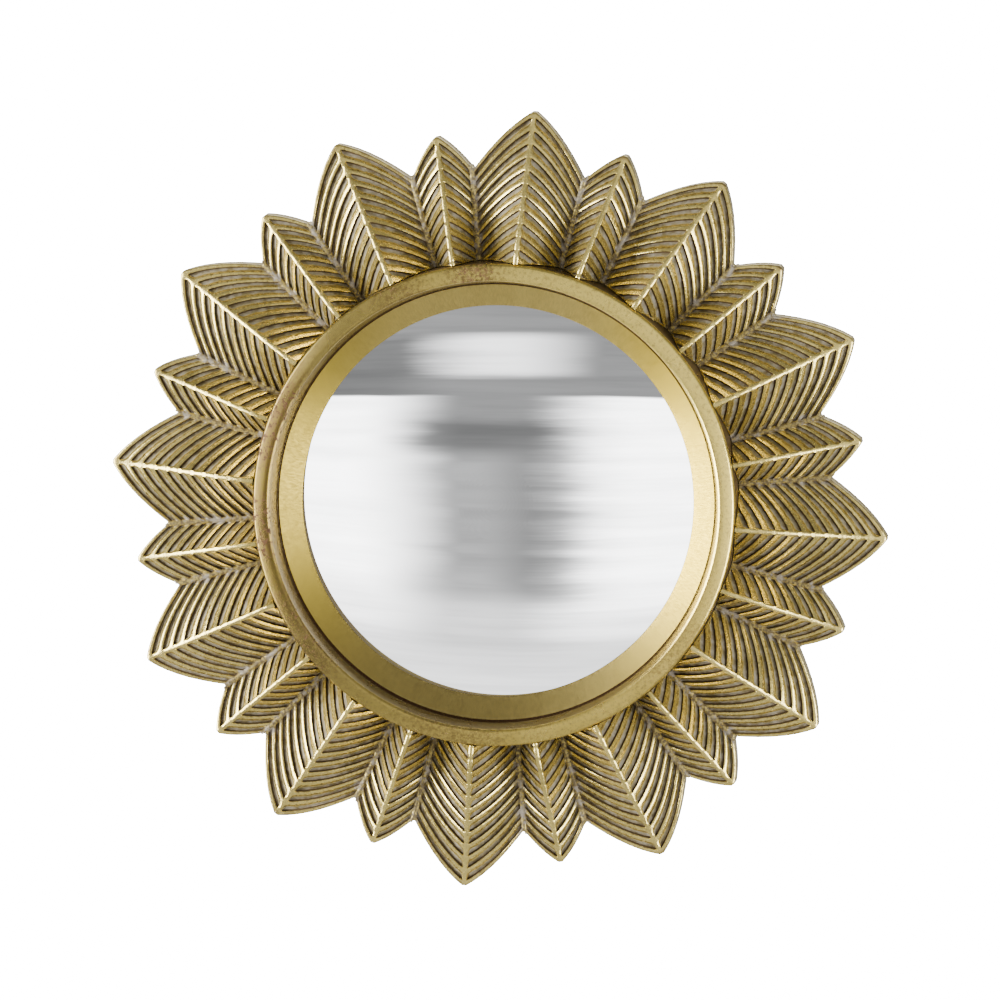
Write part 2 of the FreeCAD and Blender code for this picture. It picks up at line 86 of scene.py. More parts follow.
# Down one rib pitch, from the brink of a rib towards the ring: (distance, share of the depth,
# darkening of the colour). The groove is deepest right behind the brink, where the colour is darkest; its
# floor climbs to the next, rounded rib.
groove_profile = ((0.0, 0.08, 0.2), (0.12, 0.5, 0.85), (0.30, 0.95, 1.0), (0.60, 1.0, 0.9), (0.85, 0.97, 0.4),
                  (1.15, 0.93, 0.1), (1.6, 0.83, 0.0), (2.0, 0.66, 0.0), (2.35, 0.38, 0.0), (2.7, 0.13, 0.0),
                  (3.1, 0.0, 0.0), (3.8, 0.03, 0.0))
rim_profile = ((0.0, 0.40, 0.0), (0.10, 0.20, 0.0), (0.3, 0.06, 0.0), (0.7, 0.0, 0.0), (1.25, 0.02, 0.0))
field_steps = (0.0, 0.02, 0.045, 0.08, 0.17, 0.31, 0.46, 0.61, 0.76, 0.89, 0.945, 0.98, 1.0)
midrib_steps = (-0.5, 0.0, 0.5)
bead_steps = (0.35, 0.75)


def hang(x, y, height):
    """A point drawn face up on the bench, turned to hang on the wall, in metres."""
    return Vector((x, -height, y)) * MM


def smooth(value, low, high):
    """0 below low, 1 above high, and a smooth step from one to the other."""
    share = min(1.0, max(0.0, (value - low) / (high - low)))
    return share * share * (3 - 2 * share)


class Petal:
    """One petal, tip along +Y. A vein curve is its edge moved inwards along the midrib by a shift."""

    def __init__(self, tip, tip_height, ridge_height, slope, bow, valley_angle):
        self.tip = tip
        self.tip_height = tip_height
        self.ridge_height = ridge_height
        self.slope = slope
        self.bow = bow
        self.valley_angle = valley_angle
        ribs = math.ceil((tip - ring_radius - rim_width) / rib_pitch)
        self.rows = list(rim_profile)
        for rib in range(ribs):
            start = rim_width + rib * rib_pitch
            self.rows += [(start + step, drop, groove_dark) for step, drop, groove_dark in groove_profile]
        self.columns = [(-1, "bead", step) for step in reversed(bead_steps)]
        self.columns += [(-1, "field", step) for step in reversed(field_steps)]
        self.columns += [(1, "midrib", step) for step in midrib_steps]
        self.columns += [(1, "field", step) for step in field_steps]
        self.columns += [(1, "bead", step) for step in bead_steps]
        self.crossings = [self.ring_crossing(column) for column in self.columns]

    def side_drop(self, w):
        """How far a vein curve has fallen back at a width w from the petal's middle line."""
        return self.slope * w + self.bow * w * w

    def ridge(self, shift):
        """Height of the pleat's ridge, from the tip up to the ring."""
        share = min(1.0, max(0.0, shift / (self.tip - ring_radius - ridge_stop)))
        eased = 0.6 * share + 0.4 * share * share * (3 - 2 * share)
        return self.tip_height + (self.ridge_height - self.tip_height) * eased

    def valley_width(self, shift):
        """Half-width at which the vein curve of that shift meets the valley's bead."""
        grow = math.tan(self.valley_angle)
        apex = self.tip + self.side_drop(half_midrib) - shift
        a = self.bow * grow
        b = self.slope * grow + 1
        c = half_bead / math.cos(self.valley_angle) - apex * grow
        return (-b + math.sqrt(b * b - 4 * a * c)) / (2 * a)

    def place(self, shift, drop, column):
        """(x, y, height, groove) of a vein curve's point; groove is 0 on a rib and 1 in its groove."""
        side, region, step = column
        apex = self.tip + self.side_drop(half_midrib) - shift
        ridge = self.ridge(shift)
        edge_drop = drop * groove_depth if shift < rim_width else 0.0
        if region == "midrib":
            crown = midrib_crown * (1 - step * step * 4)
            return 2 * half_midrib * step, self.tip - shift, ridge + crown - edge_drop, 0.0
        far = self.valley_width(shift)
        if region == "bead":
            x = far + half_bead * step * math.cos(self.valley_angle)
            y = apex - self.side_drop(far) - half_bead * step * math.sin(self.valley_angle)
            crown = bead_crown * math.sin(step * math.pi / 2)
            return side * x, y, valley_height + crown - edge_drop, 0.0
        w = half_midrib + (far - half_midrib) * step
        y = apex - self.side_drop(w)
        height = ridge + (valley_height - ridge) * step
        if shift < rim_width:
            return side * w, y, height - edge_drop, 0.0
        midrib_wall = groove_end_wall + groove_end_ramp * (1 - drop)
        from_midrib = w - half_midrib
        from_bead = (far - w) / math.cos(self.valley_angle)
        groove = drop * smooth(from_midrib, groove_end_gap, midrib_wall)
        groove *= smooth(from_bead, groove_end_gap, groove_bead_wall)
        return side * w, y, height - groove_depth * groove, groove

    def ring_crossing(self, column):
        """The shift at which a column of points meets the channel's outer wall, by halving."""
        low = 0.0
        high = self.rows[-1][0]
        for _ in range(26):
            middle = (low + high) / 2
            x, y, _, _ = self.place(middle, 0.0, column)
            if math.hypot(x, y) > channel_radius:
                low = middle
            else:
                high = middle
        return low


def add_petal(bm, petal, turn, seed):
    """Lays a grid over one petal, shapes it and returns its left and right valley edges."""
    last_column = len(petal.columns) - 1
    last_row = len(petal.rows) - 1
    groove_layer = bm.verts.layers.float["groove"]
    rim_layer = bm.verts.layers.float["rim"]
    valley_layer = bm.verts.layers.float["valley"]
    groove_dark_layer = bm.verts.layers.float["groove_dark"]
    column_layer = bm.verts.layers.int["column"]
    cos_turn = math.cos(turn)
    sin_turn = math.sin(turn)
    grid = bmesh.ops.create_grid(bm, x_segments=last_column, y_segments=last_row, size=1.0)["verts"]
    for vert in grid:
        number = round((vert.co.x + 1) / 2 * last_column)
        row = round((vert.co.y + 1) / 2 * last_row)
        column = petal.columns[number]
        shift, drop, groove_dark = petal.rows[row]
        if shift > petal.crossings[number] - 0.05:
            shift = petal.crossings[number]
            drop = 0.0
            groove_dark = 0.0
        x, y, height, groove = petal.place(shift, drop, column)
        wave = noise.noise(Vector((x * unevenness_per_mm, y * unevenness_per_mm, seed)))
        height += unevenness * wave * smooth(shift, 0.0, 4.0)
        vert.co = hang(x * cos_turn + y * sin_turn, y * cos_turn - x * sin_turn, height)
        vert[column_layer] = number
        vert[groove_layer] = groove
        vert[groove_dark_layer] = groove_dark * min(1.0, groove * 1.5)
        vert[rim_layer] = 1 - smooth(shift, 0.3, 2.0)
        if column[1] == "bead":
            vert[valley_layer] = 1.0
        if column[1] == "field":
            vert[valley_layer] = smooth(column[2], 0.5, 1.0)
    bmesh.ops.remove_doubles(bm, verts=grid, dist=1e-4 * MM)
    seams = ([], [])
    for vert in grid:
        if not vert.is_valid:
            continue
        for seam, number in zip(seams, (0, last_column)):
            if vert[column_layer] != number:
                continue
            seam += [edge for edge in vert.link_edges
                     if edge.other_vert(vert)[column_layer] == number and edge.verts[0] == vert]
    return seams


def carry(bm, edges, move):
    """Extrudes a loop of edges, moves the new points and returns the new loop."""
    made = bmesh.ops.extrude_edge_only(bm, edges=edges)["geom"]
    points = {item for item in made if isinstance(item, bmesh.types.BMVert)}
    for point in points:
        point.co = move(point.co)
    return [item for item in made if isinstance(item, bmesh.types.BMEdge) and set(item.verts) <= points]


def to_circle(radius, height):
    """A move that puts a point on a circle about the mirror's axis."""
    def move(spot):
        outward = Vector((spot.x, 0, spot.z)).normalized() * radius * MM
        return outward + Vector((0, -height * MM, 0))
    return move


def finish_piece(name, bm, material, body, sharp_angle=50):
    """Turns a bmesh into a piece that rides on a body: smooth-shaded, but for faces square to the wall."""
    bmesh.ops.recalc_face_normals(bm, faces=bm.faces)
    for face in bm.faces:
        face.smooth = abs(face.normal.y) < 0.999
    for edge in bm.edges:
        if len(edge.link_faces) == 2 and edge.calc_face_angle() > math.radians(sharp_angle):
            edge.smooth = False
    mesh = bpy.data.meshes.new(name)
    bm.to_mesh(mesh)
    bm.free()
    piece = bpy.data.objects.new(name, mesh)
    bpy.context.scene.collection.objects.link(piece)
    mesh.materials.append(material)
    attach(piece, body)
    return piece


def new_material(name):
    """A material with its Principled shader, and the node tree to build on."""
    material = bpy.data.materials.new(name)
    material.use_nodes = True
    return material, material.node_tree, material.node_tree.nodes["Principled BSDF"]


def add_node(tree, kind, inputs=(), **settings):
    """A node with its settings, and its inputs given as constants or as sockets to link."""
    node = tree.nodes.new(kind)
    for key, value in settings.items():
        setattr(node, key, value)
    for key, value in dict(inputs).items():
        if isinstance(value, bpy.types.NodeSocket):
            tree.links.new(value, node.inputs[key])
        else:
            node.inputs[key].default_value = value
    return node


def object_point(tree):
    return add_node(tree, "ShaderNodeTexCoord").outputs["Object"]


def attribute(tree, name):
    return add_node(tree, "ShaderNodeAttribute", attribute_name=name).outputs["Fac"]


def ramp(tree, factor, stops):
    """A colour ramp through (position, colour) stops; returns its colour output."""
    node = add_node(tree, "ShaderNodeValToRGB", {"Fac": factor})
    elements = node.color_ramp.elements
    while len(elements) < len(stops):
        elements.new(0.5)
    for element, (position, colour) in zip(elements, stops):
        element.position = position
        element.color = (*colour, 1.0)
    return node.outputs["Color"]


def mix(tree, factor, first, second):
    """A colour mix of two sockets or colours; 6 and 7 are the Mix node's colour inputs."""
    node = tree.nodes.new("ShaderNodeMix")
    node.data_type = "RGBA"
    for number, value in ((0, factor), (6, first), (7, second)):
        if isinstance(value, bpy.types.NodeSocket):
            tree.links.new(value, node.inputs[number])
        elif number == 0:
            node.inputs[number].default_value = value
        else:
            node.inputs[number].default_value = (*value, 1.0)
    return node.outputs[2]


def between(tree, value, low, high, out_low=0.0, out_high=1.0):
    """A smooth step of a value between two limits."""
    node = add_node(tree, "ShaderNodeMapRange", {
        "Value": value, "From Min": low, "From Max": high, "To Min": out_low, "To Max": out_high})
    node.interpolation_type = "SMOOTHSTEP"
    return node.outputs["Result"]


def math_node(tree, operation, first, second):
    return add_node(tree, "ShaderNodeMath", {0: first, 1: second}, operation=operation).outputs[0]


def times(tree, first, second):
    return math_node(tree, "MULTIPLY", first, second)


def plus(tree, first, second):
    return math_node(tree, "ADD", first, second)


def most(tree, first, second):
    return math_node(tree, "MAXIMUM", first, second)


def vector_node(tree, operation, first, second=(0.0, 0.0, 0.0)):
    return add_node(tree, "ShaderNodeVectorMath", {0: first, 1: second}, operation=operation).outputs


def grain(tree, vector, scale, detail=3.0, roughness=0.55):
    return add_node(tree, "ShaderNodeTexNoise", {
        "Vector": vector, "Scale": scale, "Detail": detail, "Roughness": roughness}).outputs["Fac"]


def emboss(tree, shader, height, strength, distance):
    """Feeds a height to the shader's normal through a Bump node; the distance is in metres."""
    bump = add_node(tree, "ShaderNodeBump", {"Height": height, "Strength": strength, "Distance": distance})
    tree.links.new(bump.outputs["Normal"], shader.inputs["Normal"])


def antique_gold():
    """Gilt paint rubbed back over brown, with grey wax left in the grooves and valleys."""
    dark_gilt = (0.68, 0.535, 0.155)
    light_gilt = (0.92, 0.735, 0.23)
    burnished = (1.0, 0.84, 0.33)
    bare_resin = (0.17, 0.11, 0.045)
    dark_wax = (0.15, 0.12, 0.065)
    light_wax = (0.37, 0.33, 0.245)
    chipped_rim = (0.22, 0.13, 0.06)
    brown_soot = (0.13, 0.095, 0.05)
    grey_wax = (0.40, 0.36, 0.31)
    groove_dark_colour = (0.11, 0.075, 0.035)
    material, tree, shader = new_material("antique_gold")
    spot = object_point(tree)
    groove = attribute(tree, "groove")
    groove_dark = attribute(tree, "groove_dark")
    valley = attribute(tree, "valley")
    rim = attribute(tree, "rim")
    clouds = grain(tree, spot, 70.0, 4.0)
    specks = grain(tree, spot, 1100.0, 4.0, 0.65)
    patches = grain(tree, spot, 330.0, 5.0, 0.6)

    # Gilt, burnished here and there, and rubbed through in specks along the ribs' brinks.
    gilt = ramp(tree, clouds, ((0.32, dark_gilt), (0.66, light_gilt)))
    gilt = mix(tree, between(tree, specks, 0.52, 0.30, 0.0, 0.5), gilt, burnished)
    brink = times(tree, between(tree, groove, 0.0, 0.08), between(tree, groove, 0.5, 0.2))
    rubbed = between(tree, plus(tree, specks, times(tree, brink, 0.12)), 0.60, 0.72)
    gilt = mix(tree, times(tree, rubbed, 0.7), gilt, bare_resin)

    # Wax on the grooves' floors, wear on the rim, soot and wax in the valleys, and a darker colour in the
    # deepest part of each groove, right behind the brink.
    wax = ramp(tree, patches, ((0.38, dark_wax), (0.62, light_wax)))
    floor = between(tree, plus(tree, groove, times(tree, patches, 0.5)), 0.55, 1.15)
    colour = mix(tree, floor, gilt, wax)
    rim_wear = times(tree, rim, between(tree, patches, 0.50, 0.60))
    colour = mix(tree, times(tree, rim_wear, 0.6), colour, chipped_rim)
    soot = times(tree, between(tree, valley, 0.90, 1.0), between(tree, specks, 0.62, 0.44, 0.35, 0.95))
    colour = mix(tree, soot, colour, brown_soot)
    valley_wax = times(tree, between(tree, valley, 0.84, 1.0), between(tree, patches, 0.50, 0.62))
    colour = mix(tree, times(tree, valley_wax, 0.8), colour, grey_wax)
    colour = mix(tree, between(tree, groove_dark, 0.25, 0.85), colour, groove_dark_colour)
    tree.links.new(colour, shader.inputs["Base Color"])

    dull = most(tree, most(tree, floor, soot), most(tree, valley_wax, groove_dark))
    tree.links.new(between(tree, dull, 0.0, 1.0, 0.85, 0.2), shader.inputs["Metallic"])
    tree.links.new(between(tree, groove_dark, 0.2, 0.9, 0.5, 0.1), shader.inputs["Specular IOR Level"])
    uneven = times(tree, math_node(tree, "SUBTRACT", patches, 0.5), 0.3)
    tree.links.new(plus(tree, between(tree, dull, 0.0, 1.0, 0.25, 0.60), uneven), shader.inputs["Roughness"])
    emboss(tree, shader, specks, 0.3, 0.0002)
    return material


def make_petal_frame():
    bm = bmesh.new()
    surface_marks = ("groove", "groove_dark", "rim", "valley")
    for name in surface_marks:
        bm.verts.layers.float.new(name)
    bm.verts.layers.int.new("column")
    long_petal = Petal(tip=long_petal_tip, tip_height=8.5, ridge_height=26.5, slope=0.62, bow=0.030,
                       valley_angle=long_valley_angle)
    short_petal = Petal(tip=short_petal_tip, tip_height=10.5, ridge_height=25.0, slope=0.75, bow=0.050,
                        valley_angle=short_valley_angle)
    seams = []
    for number in range(petal_pairs):
        turn = first_petal_angle + number * pair_angle
        seams.append(add_petal(bm, long_petal, turn, number))
        seams.append(add_petal(bm, short_petal, turn + pair_angle / 2, number + 0.5))
    for number, (left, right) in enumerate(seams):
        bmesh.ops.bridge_loops(bm, edges=seams[number - 1][1] + left)

    # The open edges are the star outline and the round mouth of the ring's channel.
    rims = [edge for edge in bm.edges if len(edge.link_faces) == 1]
    mouth = [edge for edge in rims
             if all(math.hypot(end.co.x, end.co.z) < (channel_radius + 0.4) * MM for end in edge.verts)]
    inside = set(mouth)
    outline = [edge for edge in rims if edge not in inside]
    hub = ((channel_radius, channel_floor), (channel_inside, channel_floor), (channel_inside, slip_seat),
           (slip_bend, slip_seat), (slip_bend, slip_seat - 0.15), (glass_bore, glass_bore_top),
           (glass_bore, board_front), (board_recess, board_front), (board_recess, back_height))
    for radius, height in hub:
        mouth = carry(bm, mouth, to_circle(radius, height))

    def square_back(spot):
        return Vector((spot.x, -(back_height + back_edge) * MM, spot.z))

    def chamfer_back(spot):
        return to_circle(math.hypot(spot.x, spot.z) / MM - back_edge, back_height)(spot)

    outline = carry(bm, carry(bm, outline, square_back), chamfer_back)
    bmesh.ops.bridge_loops(bm, edges=outline + mouth)
    for vert in bm.verts:
        if vert.co.y > -(back_height + back_edge + 0.1) * MM:
            for name in surface_marks:
                vert[bm.verts.layers.float[name]] = 0.0
    piece = finish_piece("petal_casting", bm, antique_gold(), "mirror", sharp_angle=62)
    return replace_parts(piece, "petal_frame")


make_petal_frame()

# ---- Raised ring --------------------------------------------------------------------------------
# A second casting, turned smooth: a low band with a rounded outer edge and a small lip inside. Its
# leg stands in the hub's channel and is screwed from behind.

ring_crown = 28.0
ring_shoulder = 26.7
slip_top = 16.6
slip_top_radius = 70.1

# Where hands and packing have rubbed it: (degrees clockwise from the top, half length in degrees,
# strength), round the middle of the ring's face.
wear_patches = ((130, 12, 0.4), (190, 15, 0.6), (238, 17, 0.75), (264, 13, 0.9), (290, 17, 0.9),
                (336, 8, 0.7), (355, 8, 0.95))
wear_radius = 75.0
wear_height = 25.0
# A near-black painted contact shadow, used where the raised ring meets the slip.
painted_contact_shadow = (0.030, 0.014, 0.006)


def turned_piece(name, corners, material, centre=(0.0, 0.0), steps=256):
    """A ring turned from (radius, height, rounding) corners about an axis square to the wall."""
    bm = bmesh.new()
    cross, rise = centre
    spots = [bm.verts.new(hang(cross + radius, rise, height)) for radius, height, _ in corners]
    bm.faces.new(spots)
    for spot, (_, _, rounding) in zip(spots, corners):
        if rounding:
            bmesh.ops.bevel(bm, geom=[spot], offset=rounding * MM, offset_type="OFFSET", segments=6,
                            profile=0.5, affect="VERTICES", clamp_overlap=True, material=-1)
    bmesh.ops.delete(bm, geom=bm.faces[:], context="FACES_ONLY")
    bmesh.ops.spin(bm, geom=bm.verts[:] + bm.edges[:], cent=hang(cross, rise, 0), axis=(0, 1, 0),
                   angle=2 * math.pi, steps=steps, use_merge=True)
    bmesh.ops.remove_doubles(bm, verts=bm.verts, dist=1e-3 * MM)
    return finish_piece(name, bm, material, "mirror")


def new_group(name, inputs, outputs):
    """A shader node group with named sockets, and its own ends."""
    group = bpy.data.node_groups.new(name, "ShaderNodeTree")
    for direction, sockets in (("INPUT", inputs), ("OUTPUT", outputs)):
        for socket, kind in sockets:
            group.interface.new_socket(socket, in_out=direction, socket_type="NodeSocket" + kind)
    return group, group.nodes.new("NodeGroupInput").outputs, group.nodes.new("NodeGroupOutput").inputs


def mottle_group():
    """Uneven finish: cloudy noise, and the colour and roughness that it mixes from two of each."""
    group, given, result = new_group(
        "mottle",
        (("Vector", "Vector"), ("Scale", "Float"), ("Detail", "Float"), ("Fineness", "Float"),
         ("Dark", "Color"), ("Light", "Color"), ("Dark Roughness", "Float"), ("Light Roughness", "Float")),
        (("Clouds", "Float"), ("Color", "Color"), ("Roughness", "Float")))
    clouds = grain(group, given["Vector"], given["Scale"], given["Detail"], given["Fineness"])
    share = add_node(group, "ShaderNodeMapRange", {"Value": clouds, "From Min": 0.3, "From Max": 0.7})
    colour = mix(group, share.outputs["Result"], given["Dark"], given["Light"])
    roughness = between(group, clouds, 0.3, 0.7, given["Dark Roughness"], given["Light Roughness"])
    group.links.new(clouds, result["Clouds"])
    group.links.new(colour, result["Color"])
    group.links.new(roughness, result["Roughness"])
    return group


def axis_group():
    """Where a point lies about the mirror's axis: its radius, and its direction outwards."""
    group, given, result = new_group("about_axis", (("Vector", "Vector"),),
                                     (("Radius", "Float"), ("Outwards", "Vector")))
    flat = vector_node(group, "MULTIPLY", given["Vector"], (1.0, 0.0, 1.0))[0]
    group.links.new(vector_node(group, "LENGTH", flat)["Value"], result["Radius"])
    group.links.new(vector_node(group, "NORMALIZE", flat)[0], result["Outwards"])
    return group


mottle = mottle_group()
about_axis = axis_group()


def mottled(tree, vector, scale, detail, fineness, dark, light, roughness=(0.5, 0.5)):
    """Places the mottle group in a material and returns its outputs."""
    return add_node(tree, "ShaderNodeGroup", {
        "Vector": vector, "Scale": scale, "Detail": detail, "Fineness": fineness, "Dark": (*dark, 1.0),
        "Light": (*light, 1.0), "Dark Roughness": roughness[0], "Light Roughness": roughness[1]},
        node_tree=mottle).outputs


def ring_gold():
    """Satin gilt with brown showing through where hands and packing have rubbed it, painted shade towards the
    left and a painted highlight towards the upper right.
    """
    painted_shade_left = (0.34, 0.26, 0.075)
    painted_deep_shade_left = (0.22, 0.165, 0.03)
    painted_highlight_upper_right = (1.0, 0.78, 0.195)
    tarnish = (0.24, 0.16, 0.05)
    brown_stain = (0.20, 0.12, 0.05)
    bare_resin = (0.11, 0.055, 0.032)
    inner_wall_darkening = (0.24, 0.185, 0.09)
    painted_skirt_shade = (0.10, 0.065, 0.028)
    material, tree, shader = new_material("ring_gold")
    spot = object_point(tree)
    finish = mottled(tree, spot, 45.0, 4.0, 0.55, (0.72, 0.545, 0.12), (0.90, 0.68, 0.17), (0.32, 0.24))
    fine = grain(tree, spot, 1500.0, 3.0)
    mottling = grain(tree, spot, 900.0, 5.0, 0.7)
    blots = grain(tree, spot, 620.0, 6.0, 0.68)
    x, y, z = add_node(tree, "ShaderNodeSeparateXYZ", {0: spot}).outputs

    # Painted shade towards the left, a painted highlight towards the upper right, and a fine tarnish all
    # over.
    gilt = mix(tree, between(tree, x, 0.03, -0.075), finish["Color"], painted_shade_left)
    gilt = mix(tree, between(tree, x, -0.056, -0.075), gilt, painted_deep_shade_left)
    gilt = mix(tree, times(tree, between(tree, plus(tree, x, z), 0.02, 0.10), 0.95), gilt, painted_highlight_upper_right)
    gilt = mix(tree, between(tree, mottling, 0.45, 0.70, 0.0, 0.45), gilt, tarnish)

    # The wear patches, where the gilt is stained and flecks of it are gone.
    worn = None
    for angle, half_length, strength in wear_patches:
        turn = math.radians(angle)
        centre = hang(wear_radius * math.sin(turn), wear_radius * math.cos(turn), wear_height)
        away = vector_node(tree, "DISTANCE", spot, centre)["Value"]
        reach = wear_radius * MM * math.radians(half_length)
        patch = between(tree, away, reach * 0.4, reach * 1.3, strength, 0.0)
        worn = patch if worn is None else most(tree, worn, patch)
    stain = times(tree, worn, between(tree, mottling, 0.38, 0.60, 0.15, 0.8))
    gilt = mix(tree, stain, gilt, brown_stain)
    edge = math_node(tree, "SUBTRACT", 0.76, times(tree, worn, 0.27))
    fleck = between(tree, math_node(tree, "SUBTRACT", blots, edge), 0.0, 0.06)
    colour = mix(tree, times(tree, fleck, 0.85), gilt, bare_resin)

    # Darker inner wall below the lip, painted contact shadow at the foot of that wall, painted shade on the
    # lower outer wall among the petals.
    radius = add_node(tree, "ShaderNodeGroup", {"Vector": spot}, node_tree=about_axis).outputs["Radius"]
    inner = between(tree, radius, 72.3 * MM, 71.7 * MM)
    wall = times(tree, inner, between(tree, y, -26.8 * MM, -25.5 * MM))
    colour = mix(tree, times(tree, wall, 0.7), colour, inner_wall_darkening)
    # Painted contact shadow at the foot of the inner wall, where it meets the slip.
    foot = times(tree, inner, between(tree, y, -19.6 * MM, -18.0 * MM))
    colour = mix(tree, foot, colour, painted_contact_shadow)
    # Painted shade on the lower outer wall, among the petals.
    skirt = times(tree, between(tree, radius, 76.8 * MM, 77.2 * MM), between(tree, y, -26.4 * MM, -24.0 * MM))
    colour = mix(tree, skirt, colour, painted_skirt_shade)
    tree.links.new(colour, shader.inputs["Base Color"])

    dull = most(tree, most(tree, fleck, skirt), foot)
    tree.links.new(between(tree, dull, 0.0, 1.0, 0.90, 0.0), shader.inputs["Metallic"])
    tree.links.new(between(tree, dull, 0.0, 1.0, 0.5, 0.05), shader.inputs["Specular IOR Level"])
    tree.links.new(finish["Roughness"], shader.inputs["Roughness"])
    emboss(tree, shader, fine, 0.12, 0.0001)
    return material


ring = turned_piece("raised_ring", (
    (73.0, channel_floor, 0.0), (ring_radius, channel_floor, 0.0), (ring_radius, ring_shoulder, 0.9),
    (73.6, ring_crown - 0.1, 0.5), (72.8, ring_crown, 0.4), (71.9, ring_crown - 0.5, 0.4), (70.9, 19.3, 0.0),
    (slip_top_radius, slip_top, 0.0), (73.0, slip_top, 0.0)), ring_gold())
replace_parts(ring, "ring_moulding")

# ---- Slip -----------------------------------------------------------------------------------------
# A cone spun from thin sheet and brushed across, whose inner edge lies on the glass. Its flat
# flange is clamped between the hub and the raised ring.

slip_opening = 62.9
slip_flange = 72.6


def brushed_gold():
    """Fine strokes from the centre outwards, with a warmer painted tint of light on the right and painted
    shade on the left and below.
    """
    highlight = (0.78, 0.61, 0.18)
    painted_lit_right_tint = (0.56, 0.40, 0.026)
    painted_left_side_shade = (0.31, 0.225, 0.022)
    painted_lower_shade = (0.22, 0.17, 0.065)
    material, tree, shader = new_material("brushed_gold")
    spot = object_point(tree)
    radius, outwards = add_node(tree, "ShaderNodeGroup", {"Vector": spot}, node_tree=about_axis).outputs
    lengthwise = add_node(tree, "ShaderNodeCombineXYZ", {"Y": times(tree, radius, 4.0)}).outputs[0]
    along = vector_node(tree, "ADD", outwards, lengthwise)[0]
    strokes = mottled(tree, along, 160.0, 4.0, 0.7, (0.54, 0.415, 0.12), (0.72, 0.56, 0.17), (0.40, 0.54))
    broad = grain(tree, along, 12.0, 2.0)
    colour = mix(tree, between(tree, broad, 0.35, 0.7, 0.0, 0.3), strokes["Color"], highlight)
    x, _, z = add_node(tree, "ShaderNodeSeparateXYZ", {0: spot}).outputs
    # Painted light on the right, painted shade on the left and towards the bottom.
    colour = mix(tree, between(tree, x, 0.02, 0.06, 0.0, 0.85), colour, painted_lit_right_tint)
    colour = mix(tree, between(tree, x, -0.02, -0.06, 0.0, 0.85), colour, painted_left_side_shade)
    colour = mix(tree, between(tree, z, -0.015, -0.06, 0.0, 0.55), colour, painted_lower_shade)
    # Painted contact shadow in a thin ring at the slip's outer edge, under the raised ring.
    joint = between(tree, radius, 69.8 * MM, 70.0 * MM)
    tree.links.new(mix(tree, joint, colour, painted_contact_shadow), shader.inputs["Base Color"])
    tree.links.new(between(tree, joint, 0.0, 1.0, 1.0, 0.0), shader.inputs["Metallic"])
    tree.links.new(between(tree, joint, 0.0, 1.0, 0.5, 0.0), shader.inputs["Specular IOR Level"])
    tree.links.new(strokes["Roughness"], shader.inputs["Roughness"])
    emboss(tree, shader, strokes["Clouds"], 0.25, 0.0001)
    return material


slip = turned_piece("spun_slip", (
    (slip_opening, 11.85, 0.0), (slip_bend, slip_seat, 0.0), (slip_flange, slip_seat, 0.0),
    (slip_flange, slip_top, 0.0), (slip_top_radius, slip_top, 0.0), (slip_opening + 0.1, 12.13, 0.06),
    (slip_opening, 12.0, 0.05)), brushed_gold())
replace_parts(slip, "slip_ring")

# ---- Glass ------------------------------------------------------------------------------------------
# Sheet glass slumped to a shallow dome and silvered behind. The reflection is the silver's, seen
# through clear glass, so the whole disc is one mirror surface.

glass_radius = 66.5
glass_curve = 280.0
glass_thickness = 2.5
glass_crown = 18.958
glass_rings = 56


def silvered_glass():
    material, tree, shader = new_material("silvered_glass")
    silver = mottled(tree, object_point(tree), 9.0, 2.0, 0.55, (0.80, 0.81, 0.82), (0.86, 0.865, 0.87))
    tree.links.new(silver["Color"], shader.inputs["Base Color"])
    shader.inputs["Metallic"].default_value = 1.0
    shader.inputs["Roughness"].default_value = 0.0
    return material


def make_glass():
    """Two domes about one centre, turned from their half section."""
    bm = bmesh.new()
    centre = glass_crown - glass_curve

    def dome(curve, count):
        reach = math.asin(glass_radius / curve)
        return [hang(curve * math.sin(reach * i / count), 0, centre + curve * math.cos(reach * i / count))
                for i in range(count + 1)]

    front = [bm.verts.new(spot) for spot in dome(glass_curve, glass_rings)]
    rear = [bm.verts.new(spot) for spot in dome(glass_curve - glass_thickness, glass_rings // 4)]
    line = front + rear[::-1]
    for here, there in zip(line, line[1:]):
        bm.edges.new((here, there))
    bmesh.ops.spin(bm, geom=bm.verts[:] + bm.edges[:], cent=(0, 0, 0), axis=(0, 1, 0),
                   angle=2 * math.pi, steps=192, use_merge=True)
    bmesh.ops.remove_doubles(bm, verts=bm.verts, dist=1e-3 * MM)
    return finish_piece("domed_glass", bm, silvered_glass(), "mirror")


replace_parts(make_glass(), "convex_glass")

# ---- Back board, foam and felts -----------------------------------------------------------------------
# Brown hardboard with its screen side out, foam blocks between it and the glass, and square felts
# that keep the casting off the wall.

pad_circle = 92.0
pad_width = 12.0
pad_corner = 1.2
pad_edge = 0.3


def hardboard():
    """Pressed brown fibres with the print of the wire screen that the board dried on."""
    material, tree, shader = new_material("hardboard")
    spot = object_point(tree)
    fibres = mottled(tree, spot, 350.0, 6.0, 0.7, (0.10, 0.055, 0.028), (0.20, 0.12, 0.065), (0.75, 0.6))
    screen = add_node(tree, "ShaderNodeTexVoronoi", {"Vector": spot, "Scale": 900.0}).outputs["Distance"]
    tree.links.new(fibres["Color"], shader.inputs["Base Color"])
    tree.links.new(fibres["Roughness"], shader.inputs["Roughness"])
    emboss(tree, shader, plus(tree, fibres["Clouds"], times(tree, screen, 0.6)), 0.5, 0.0003)
    return material


